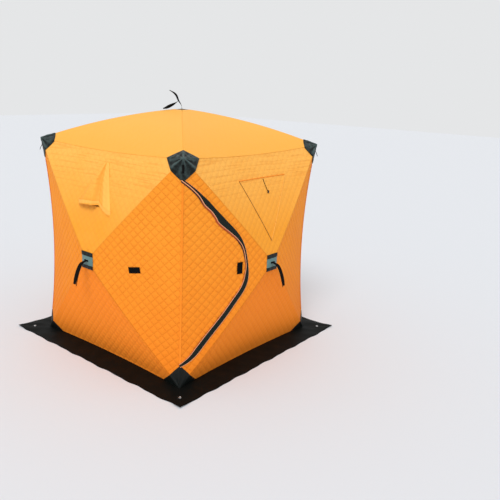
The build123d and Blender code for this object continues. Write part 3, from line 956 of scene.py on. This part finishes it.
def wallFan(wall, sign, angle, outline, low=False):
    # points and normals round a wall's corner: radii out to the nearest of the outline's straight
    # edges, each given by its two ends, along and away from the corner
    along, outward = walls[wall]
    c, s = np.cos(angle), np.sin(angle)
    ends = zip(outline[:-1], outline[1:])
    edges = [(x0 * y1 - x1 * y0) / ((y1 - y0) * c - (x1 - x0) * s) for (x0, y0), (x1, y1) in ends]
    reach = np.min(edges, axis=0) * r
    b = 1 - reach * s / hubHeight
    u, z = mitred(sign * (1 - reach * c / half), -b if low else b, wallOut, hubHeight, hubHeight)
    return onWall(wall, u, z), clothNormal(wallOut, u, z, outward, along, up)


def roofFan(wall, sign, angle):
    # points and normals round a roof corner, out to the tip on the roof pole
    along, outward = walls[wall]
    c, s = np.cos(angle), np.sin(angle)
    skew = (patch["roofReach"] - patch["eave"]) / patch["roofReach"]
    reach = patch["eave"] / (c - skew * s) * r
    u, w = mitred(sign * (1 - reach * c / half), 1 - reach * s / half, roofUp, 0, half)
    return onRoof(wall, u, w), clothNormal(roofUp, u, w, up, along, outward)


def fanRing(fans, cornerWay):
    # fans joined side by side: shared rows are averaged and kept once, and the normals turn
    # towards the corner's own direction near the middle
    points, normals = fans[0]
    for p, n in fans[1:]:
        points = np.concatenate([points[:-1], (points[-1:] + p[:1]) / 2, p[1:]])
        normals = np.concatenate([normals[:-1], normals[-1:] + n[:1], n[1:]])
    near = (1 - smooth(r / 0.15))[:, None]
    return points, unit(unit(normals) * (1 - near) + cornerWay * near)


def ridges(angle, folds):
    # folds that run out from the corner: rounded ridges and valleys at given angles in degrees
    return sum(height * np.exp(-(((np.degrees(angle) - at) / width) ** 2)) for at, width, height in folds)


def raised(points, normals, shape):
    # a patch's points, lifted off the cloth by its folds, which fade out at its edge
    lift = patch["lift"] + patch["crease"] * shape * smooth((1.02 - r) / 0.12)
    return points + normals * lift[..., None]


onWalls, onRoofs = ridges(quarter, wallRidges), ridges(eighth, roofRidges)
fold = np.concatenate([onWalls[::-1], onRoofs[1:], onRoofs[-2::-1], onWalls[1:]])
fold = fold * np.sin(np.pi * r**0.75) ** 0.8
knob = 0.9 * np.exp(-((r / 0.10) ** 2))
topOutline = [(patch["eave"], 0), patch["bend"], (0, patch["drop"])]
footOutline = [(patch["footWidth"], 0), (0, patch["footHeight"])]
for first, second in neighbours.items():
    fans = [
        wallFan(first, 1, quarter[::-1], topOutline),
        roofFan(first, 1, eighth),
        roofFan(second, -1, eighth[::-1]),
        wallFan(second, -1, quarter, topOutline),
    ]
    points, normals = fanRing(fans, unit(sum(walls[first]) + up))
    x, y, z = np.moveaxis(points, -1, 0)
    crumple = 0.25 * np.sin(x * 130 + 4 * np.sin(z * 60)) * np.sin(y * 117) * np.sin(np.pi * r)
    points = raised(points, normals, np.clip(fold + knob + crumple + 0.75, 0, None))
    points[-1] = points[0]
    # painted light: pale on the ridges and the knob at the corner, dark in the valleys
    paintedRidgeLight = np.clip(0.12 + 0.62 * fold + 0.55 * knob + 0.1 * crumple, 0, 1) * smooth((1.08 - r) / 0.14)
    mesh = makeMesh("corner", points, (paintedRidgeLight, np.broadcast_to(r, paintedRidgeLight.shape)), flip=True)
    name, nodes = f"{first}{second.capitalize()}CornerPatch", [f"top_patch_{first}_{second}"]
    piece = place(name, mesh, "foldedPatch", nodes, patch["thickness"], 1.0)

feet = []
for first, second in neighbours.items():
    fans = [
        wallFan(first, 1, quarter, footOutline, low=True),
        wallFan(second, -1, quarter[::-1], footOutline, low=True),
    ]
    points, normals = fanRing(fans, unit(sum(walls[first])))
    around = np.linspace(0, 1, len(points))[:, None]
    fold = 0.5 + 0.5 * np.sin(around * 2 * np.pi * 5) * np.sin(np.pi * r**0.8)
    points = raised(points, normals, 0.5 * fold)
    points[..., 2] = np.maximum(points[..., 2], shell["ground"] + 0.001)
    feet.append(makeMesh("foot", points))
mesh = join("feet", feet)
piece = place("footPatchCloth", mesh, "patchDark", ["foot_patches"], patch["thickness"], 1.0)

hubPatch = {
    "half": 0.069,
    "roofHalf": 0.1,
    "thickness": 0.0016,
    "lift": 0.0016,
    "bands": (("Upper", 1, 0.034), ("Lower", -1, 0.032)),  # side and height of each band
    "bandThickness": 0.0022,
    "bandLift": 0.003,
}
for wall in walls:
    a, b = np.meshgrid(np.linspace(-1, 1, 41), np.linspace(-1, 1, 41))
    bump = hubPatch["lift"] + 0.0012 * np.sin(a * 5 + b * 3) * (1 - a**2) * (1 - b**2)
    mesh = makeMesh("hub", onWall(wall, a * hubPatch["half"], hubHeight + b * hubPatch["half"], bump))
    nodes = [f"{wall}_hub_patch"]
    place(f"{wall}HubPatchCloth", mesh, "hubPlate", nodes, hubPatch["thickness"])
    a, b = np.meshgrid(np.linspace(-1.03, 1.03, 41), np.linspace(0, 1, 11))
    lift = hubPatch["bandLift"] + 0.0012 * np.sin(np.pi * b) + 0.0006 * np.sin(a * 9)
    for label, side, tall in hubPatch["bands"]:
        z = hubHeight + side * (hubPatch["half"] + 0.003 - b * tall)
        mesh = makeMesh("band", onWall(wall, a * hubPatch["half"], z, lift), flip=side > 0)
        thickness = hubPatch["bandThickness"]
        place(f"{wall}HubBand{label}", mesh, "patchDark", thickness=thickness)
a, b = np.meshgrid(np.linspace(-1, 1, 61), np.linspace(-1, 1, 61))
x, y = a * hubPatch["roofHalf"], b * hubPatch["roofHalf"]
height = top + roofUp(np.minimum(np.abs(x), np.abs(y)), np.maximum(np.abs(x), np.abs(y)))
height = height + hubPatch["lift"] + 0.001 * np.sin(a * 7) * np.sin(b * 6)
mesh = makeMesh("roofHub", np.stack([x, y, height], -1))
place("roofHubPatchCloth", mesh, "patchCloth", ["roof_hub_patch"], hubPatch["thickness"])
print("patches made")


# Pull straps: doubled webbing sewn at its end, with a knot-like stop at the hub
strap = {
    "width": 0.042,
    "roofWidth": 0.030,
    "thickness": 0.0026,
    "strand": (0.008, 0.002),  # width and thickness of the loose strand under a wall strap
    "stopHalf": 0.026,
    "stopRadius": 0.0085,
    "route": [(0.226, -0.004), (0.257, -0.015), (0.282, -0.044), (0.309, -0.102), (0.331, -0.175)],
    "roofRoutes": [
        [(0, 0), (0.006, 0.040), (0.030, 0.076), (0.050, 0.120), (0.112, 0.164)],
        [(0.030, 0.076), (0.068, 0.050), (0.107, 0.029), (0.142, 0.012), (0.168, 0.004)],
    ],
    "roofTwists": [38, 62],
    "roofHeading": (-0.65, 0.76, 0),
    "roofAcross": (0.76, 0.65, 0),
}
seat = poleLevel(0.05, shell["wallRise"], shell["wallBow"]) + 0.0003
line = curvePoints([(seat, 0), *strap["route"]], 48)
taper = 0.55 + 0.45 * smooth(np.linspace(0, 4, 48)) - 0.25 * smooth(np.linspace(-4, 1, 48))
lump = np.linspace(-1, 1, 20)
meshes = []
for along, outward in walls.values():
    path = (half + line[:, :1]) * outward + (hubHeight + line[:, 1:]) * up
    meshes.append(ribbon(path, along, strap["width"] * taper, strap["thickness"]))
    second = path[8:] - outward * 0.012 - up * np.linspace(0, 0.018, 40)[:, None] + along * 0.006
    meshes.append(ribbon(second, along, *strap["strand"]))
    knot = (half + seat + 0.006) * outward + hubHeight * up + along * (lump * strap["stopHalf"])[:, None]
    stop = tube(knot, strap["stopRadius"] * np.sqrt(np.clip(1.001 - lump**6, 0, 1)), 12)
    meshes.append(makeMesh("stop", stop, closeCols=True))
place("wallStrapWebbing", join("wallStraps", meshes), "webbing", ["wall_straps"])
meshes = []
seatHeight = top + poleLevel(0.05, shell["roofRise"], shell["roofBow"]) + 0.0003
across = np.array(strap["roofAcross"])
untwist = smooth(np.linspace(0, 1.6, 40)) * (1 - 0.7 * smooth(np.linspace(-2, 1, 40)))
for route, twist in zip(strap["roofRoutes"], strap["roofTwists"]):
    line = curvePoints(route, 40)
    path = line[:, :1] * np.array(strap["roofHeading"]) + (seatHeight + line[:, 1:]) * up
    turn = np.radians(twist * untwist)[:, None]
    side = np.cos(turn) * across + np.sin(turn) * np.cross(unit(np.gradient(path, axis=0)), across)
    meshes.append(ribbon(path, side, strap["roofWidth"], strap["thickness"]))
place("roofStrapWebbing", join("roofStrap", meshes), "webbing", ["roof_strap"])

# Guy loops hanging from the top corners
loop = {
    "width": 0.016,
    "thickness": 0.0032,
    "top": 1.768,
    "route": [(0, 0), (0.0005, -0.012), (0.011, -0.034), (0.021, -0.060)],
}
share = (loop["top"] - hubHeight) / hubHeight
seat = (half - shell["cornerPull"] * (1 - share**2)) * math.sqrt(2) + 0.0046
line = curvePoints(loop["route"], 30)
meshes = []
for x, y in ((1, 1), (1, -1), (-1, 1), (-1, -1)):
    outward = np.array([x, y, 0]) / math.sqrt(2)
    path = (seat + line[:, :1]) * outward + (loop["top"] + line[:, 1:]) * up
    meshes.append(ribbon(path, np.cross(outward, up), loop["width"], loop["thickness"]))
place("cornerLoopWebbing", join("cornerLoops", meshes), "webbing", ["corner_loops"])
print("straps made")


# Vent hoods: a lobe of cloth with a flat band beside it, sewn down both sides, with a bound lower hem
hood = {
    "left": [(1.366, -0.195), (1.690, 0.006)],  # height and place of its sewn left edge
    "right": [(1.300, 0.216), (1.700, 0.052)],
    "rise": [(0, 0.056), (0.6, 0.038), (0.9, 0.012), (1, 0.001)],  # how far the lobe stands out, by height
    "full": 0.45,  # the lobe stands out in full from here, and falls back over the last part
    "fall": 0.24,
    "tuck": 0.005,  # how far its sewn edges sink into the wall's cloth
    "lobeEnd": [(0, 0.37), (0.6, -0.02), (1, -0.2)],
    "fold": (0.36, 0.12),  # share of the band that is shaded, at the hem, and how it narrows upwards
    "band": 0.003,
    "high": 1.696,
    "thickness": 0.0016,
    "bandThickness": 0.0008,
    "hem": (0.036, 0.0042),  # width and thickness
    "lowEdge": [
        (-1, 1.340), (-0.5, 1.355), (0, 1.361), (0.3, 1.360), (0.42, 1.336), (0.74, 1.303), (1, 1.292),
    ],
}


def hoodSide(side, z):
    # the place of a sewn edge at a height, on a straight line through its two ends
    (z0, u0), (z1, u1) = hood[side]
    return u0 + (u1 - u0) / (z1 - z0) * (z - z0)


def hoodPoints(wall, w, v, extra=0.0):
    # the hood: a lobe that stands out, from the left edge to its end, and a flat band beside it
    low = between(w, hood["lowEdge"])
    z = low + (hood["high"] - low) * v
    left = hoodSide("left", z)
    u = left + (hoodSide("right", z) - left) * (w + 1) / 2
    end = between(v, hood["lobeEnd"])
    share = np.clip((w + 1) / (end + 1), 0, 1)
    lobe = (1 - np.clip(1 - share / hood["full"], 0, 1) ** 2.4) * smooth((1 - share) / hood["fall"])
    flat = hood["band"] * smooth((1 - w) / 0.1) * smooth((w - end) / 0.06)
    lift = np.maximum(between(v, hood["rise"]) * lobe, flat)
    lift = lift + (0.0022 * np.sin(w * 23 + 5 * v) * (1 - v) + 0.0012 * np.sin(v * 52 + 3 * w)) * (1 - w**2)
    tuck = np.maximum(smooth((np.abs(w) - 0.92) / 0.08), smooth((v - 0.95) / 0.05))
    return onWall(wall, u, z, 0.001 + lift + extra - hood["tuck"] * tuck), lattice(u, z)


for wall in ("left", "right"):
    w, v = np.meshgrid(np.linspace(-1, 1, 121), np.linspace(0, 1, 71))
    points, uv = hoodPoints(wall, w, v)
    nodes = [f"{wall}_vent_hood"]
    mesh = makeMesh("hood", points, uv)
    piece = place(f"{wall}VentHoodCloth", mesh, "upperCloth", nodes, hood["thickness"])
    hem = points[:8].mean(0) + walls[wall][1] * 0.001
    place(f"{wall}VentHoodHem", ribbon(hem, up, *hood["hem"]), "hemCloth")
    t, v = np.meshgrid(np.linspace(0, 1, 25), np.linspace(0.03, 0.985, 71))
    end = between(v, hood["lobeEnd"])
    turn = end + (0.985 - end) * (hood["fold"][0] - hood["fold"][1] * v)
    # the Band strip takes the pale trim colour as painted light on its face; hems and piping keep it as
    # their own colour
    strips = ("Band", "hemCloth", turn, 0.995), ("Fold", "hoodShade", end - 0.14, turn)
    # the Fold strip, in the hoodShade colour, is painted shade on the lobe's falling flank
    for label, material, first, last in strips:
        points, uv = hoodPoints(wall, first + (last - first) * t, v, 0.0012)
        mesh = makeMesh("band", points)
        place(f"{wall}VentHood{label}", mesh, material, thickness=hood["bandThickness"])
print("vent hoods made")


# Snow skirt: coated cloth, flat on the ground with low wrinkles, joined at the corners
skirt = {
    "width": 0.215,
    "thickness": 0.0014,
    "inset": 0.004,  # it starts this far inside the walls' foot
    "wrinkle": 0.007,
    "curl": 0.012,
    "columns": 220,
    "rows": 24,
}
s, v = np.meshgrid(np.linspace(-1, 1, skirt["columns"]), np.linspace(0, 1, skirt["rows"]))
inner = half - skirt["inset"] - shell["groundPull"] * (1 - s**2)
u = s * (half - skirt["inset"] + (skirt["width"] + skirt["inset"]) * v)
calm = smooth((1 - np.abs(s)) / 0.12) * np.sin(np.pi * (0.1 + 0.85 * v))
curl = skirt["curl"] * smooth((np.abs(s) - 0.84) / 0.16) * v**3 - 0.0012 * v
for k, (wall, (along, outward)) in enumerate(walls.items()):
    fray = 0.004 * np.sin(s * 19 + 2 * k) + 0.003 * np.sin(s * 37 + k) - 0.004
    fray = fray * smooth((1 - np.abs(s)) / 0.1)
    out = inner + (half + skirt["width"] + fray - inner) * v
    ripple = np.sin(u * 23 + 3 * v + k) + 0.6 * np.sin(u * 41 - 5 * v + 2 * k)
    ripple = ripple + 0.5 * np.sin(u * 9 + 9 * v + 3 * k)
    height = shell["ground"] + skirt["wrinkle"] * (0.35 + 0.3 * ripple).clip(0) * calm + curl
    points = u[..., None] * along + out[..., None] * outward + height[..., None] * up
    mesh, nodes = makeMesh("skirt", points, flip=True), [f"skirt_{wall}"]
    piece = place(f"{wall}SkirtCloth", mesh, "skirtCloth", nodes, skirt["thickness"])
grommet = {"place": 0.985, "radius": 0.0085, "wire": 0.0028, "height": 0.0045}
turn = np.linspace(0, 2 * np.pi, 40, endpoint=False)
circle = np.stack([np.cos(turn), np.sin(turn), np.zeros(40)], -1) * grommet["radius"]
rings = []
for x in (-1, 1):
    for y in (-1, 1):
        ring = circle + (x * grommet["place"], y * grommet["place"], grommet["height"])
        points = tube(ring, grommet["wire"], closed=True)
        rings.append(makeMesh("ring", points, closeRows=True, closeCols=True))
mesh = join("grommets", rings)
place("skirtGrommetRings", mesh, "grommetMetal", ["skirt_grommets"])
print("skirt made")

# Carried-over CAD nodes
for name in ("wall_poles", "roof_poles", "wall_hubs", "roof_hub"):
    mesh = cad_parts[name].data
    mesh.materials.clear()
    mesh.materials.append(materials["poleRod" if name.endswith("poles") else "hubPlastic"])

# Camera, floor and light
view = {
    "place": (-3.9281, -3.8293, 2.3374),
    "yaw": 49.749,
    "pitch": -15.703,
    "roll": 1.954,
    "lens": 42.856,
    "shiftX": 0.06,
}
yaw, pitch, roll = (math.radians(view[k]) for k in ("yaw", "pitch", "roll"))
ahead = np.array([math.cos(pitch) * math.sin(yaw), math.cos(pitch) * math.cos(yaw), math.sin(pitch)])
side = unit(np.cross(ahead, up))
over = np.cross(side, ahead)
right = math.cos(roll) * side + math.sin(roll) * over
above = -math.sin(roll) * side + math.cos(roll) * over
cameraData = bpy.data.cameras.new("camera")
camera = show("camera", cameraData)
matrix = np.eye(4)
matrix[:3] = np.stack([right, above, -ahead, view["place"]], -1)
camera.matrix_world = Matrix(matrix.tolist())
cameraData.sensor_width = 36
cameraData.lens = view["lens"]
cameraData.shift_x = view["shiftX"]
cameraData.clip_end = 200
bpy.context.scene.camera = camera

floorMesh = makeMesh("floor", np.stack([*np.meshgrid([-30.0, 30.0], [-30.0, 30.0]), np.zeros((2, 2))], -1))
floor = show("floor", floorMesh)
material, tree, shader = newMaterial("floor")
wire(tree, shader, [("Base Color", linear("floor")), ("Roughness", 0.8)])
floorMesh.materials.append(material)

world = bpy.data.worlds.new("sky")
bpy.context.scene.world = world
world.use_nodes = True
tree = world.node_tree
rays = node(tree, "LightPath")
seen = calc(tree, "MAXIMUM", rays["Is Camera Ray"], rays["Is Glossy Ray"])
seen = calc(tree, "MAXIMUM", seen, rays["Is Transmission Ray"])
strength = ranged(tree, seen, 0.0, 1.0, 0.77, 0.80)
wire(tree, tree.nodes["Background"], [(0, (0.98, 0.99, 1.0, 1)), (1, strength)])

# a low winter sun through thin cloud, from the front and left
sun = {"from": (-1.0, -0.5, 1.15), "strength": 1.45, "spread": 25}
lamp = bpy.data.lights.new("sun", "SUN")
lamp.energy = sun["strength"]
lamp.angle = math.radians(sun["spread"])
x, y, z = sun["from"]
show("sun", lamp).rotation_euler = (math.atan2(math.hypot(x, y), z), 0, math.atan2(x, -y))
bpy.context.scene.view_settings.view_transform = "Standard"
print("camera, floor and light made")
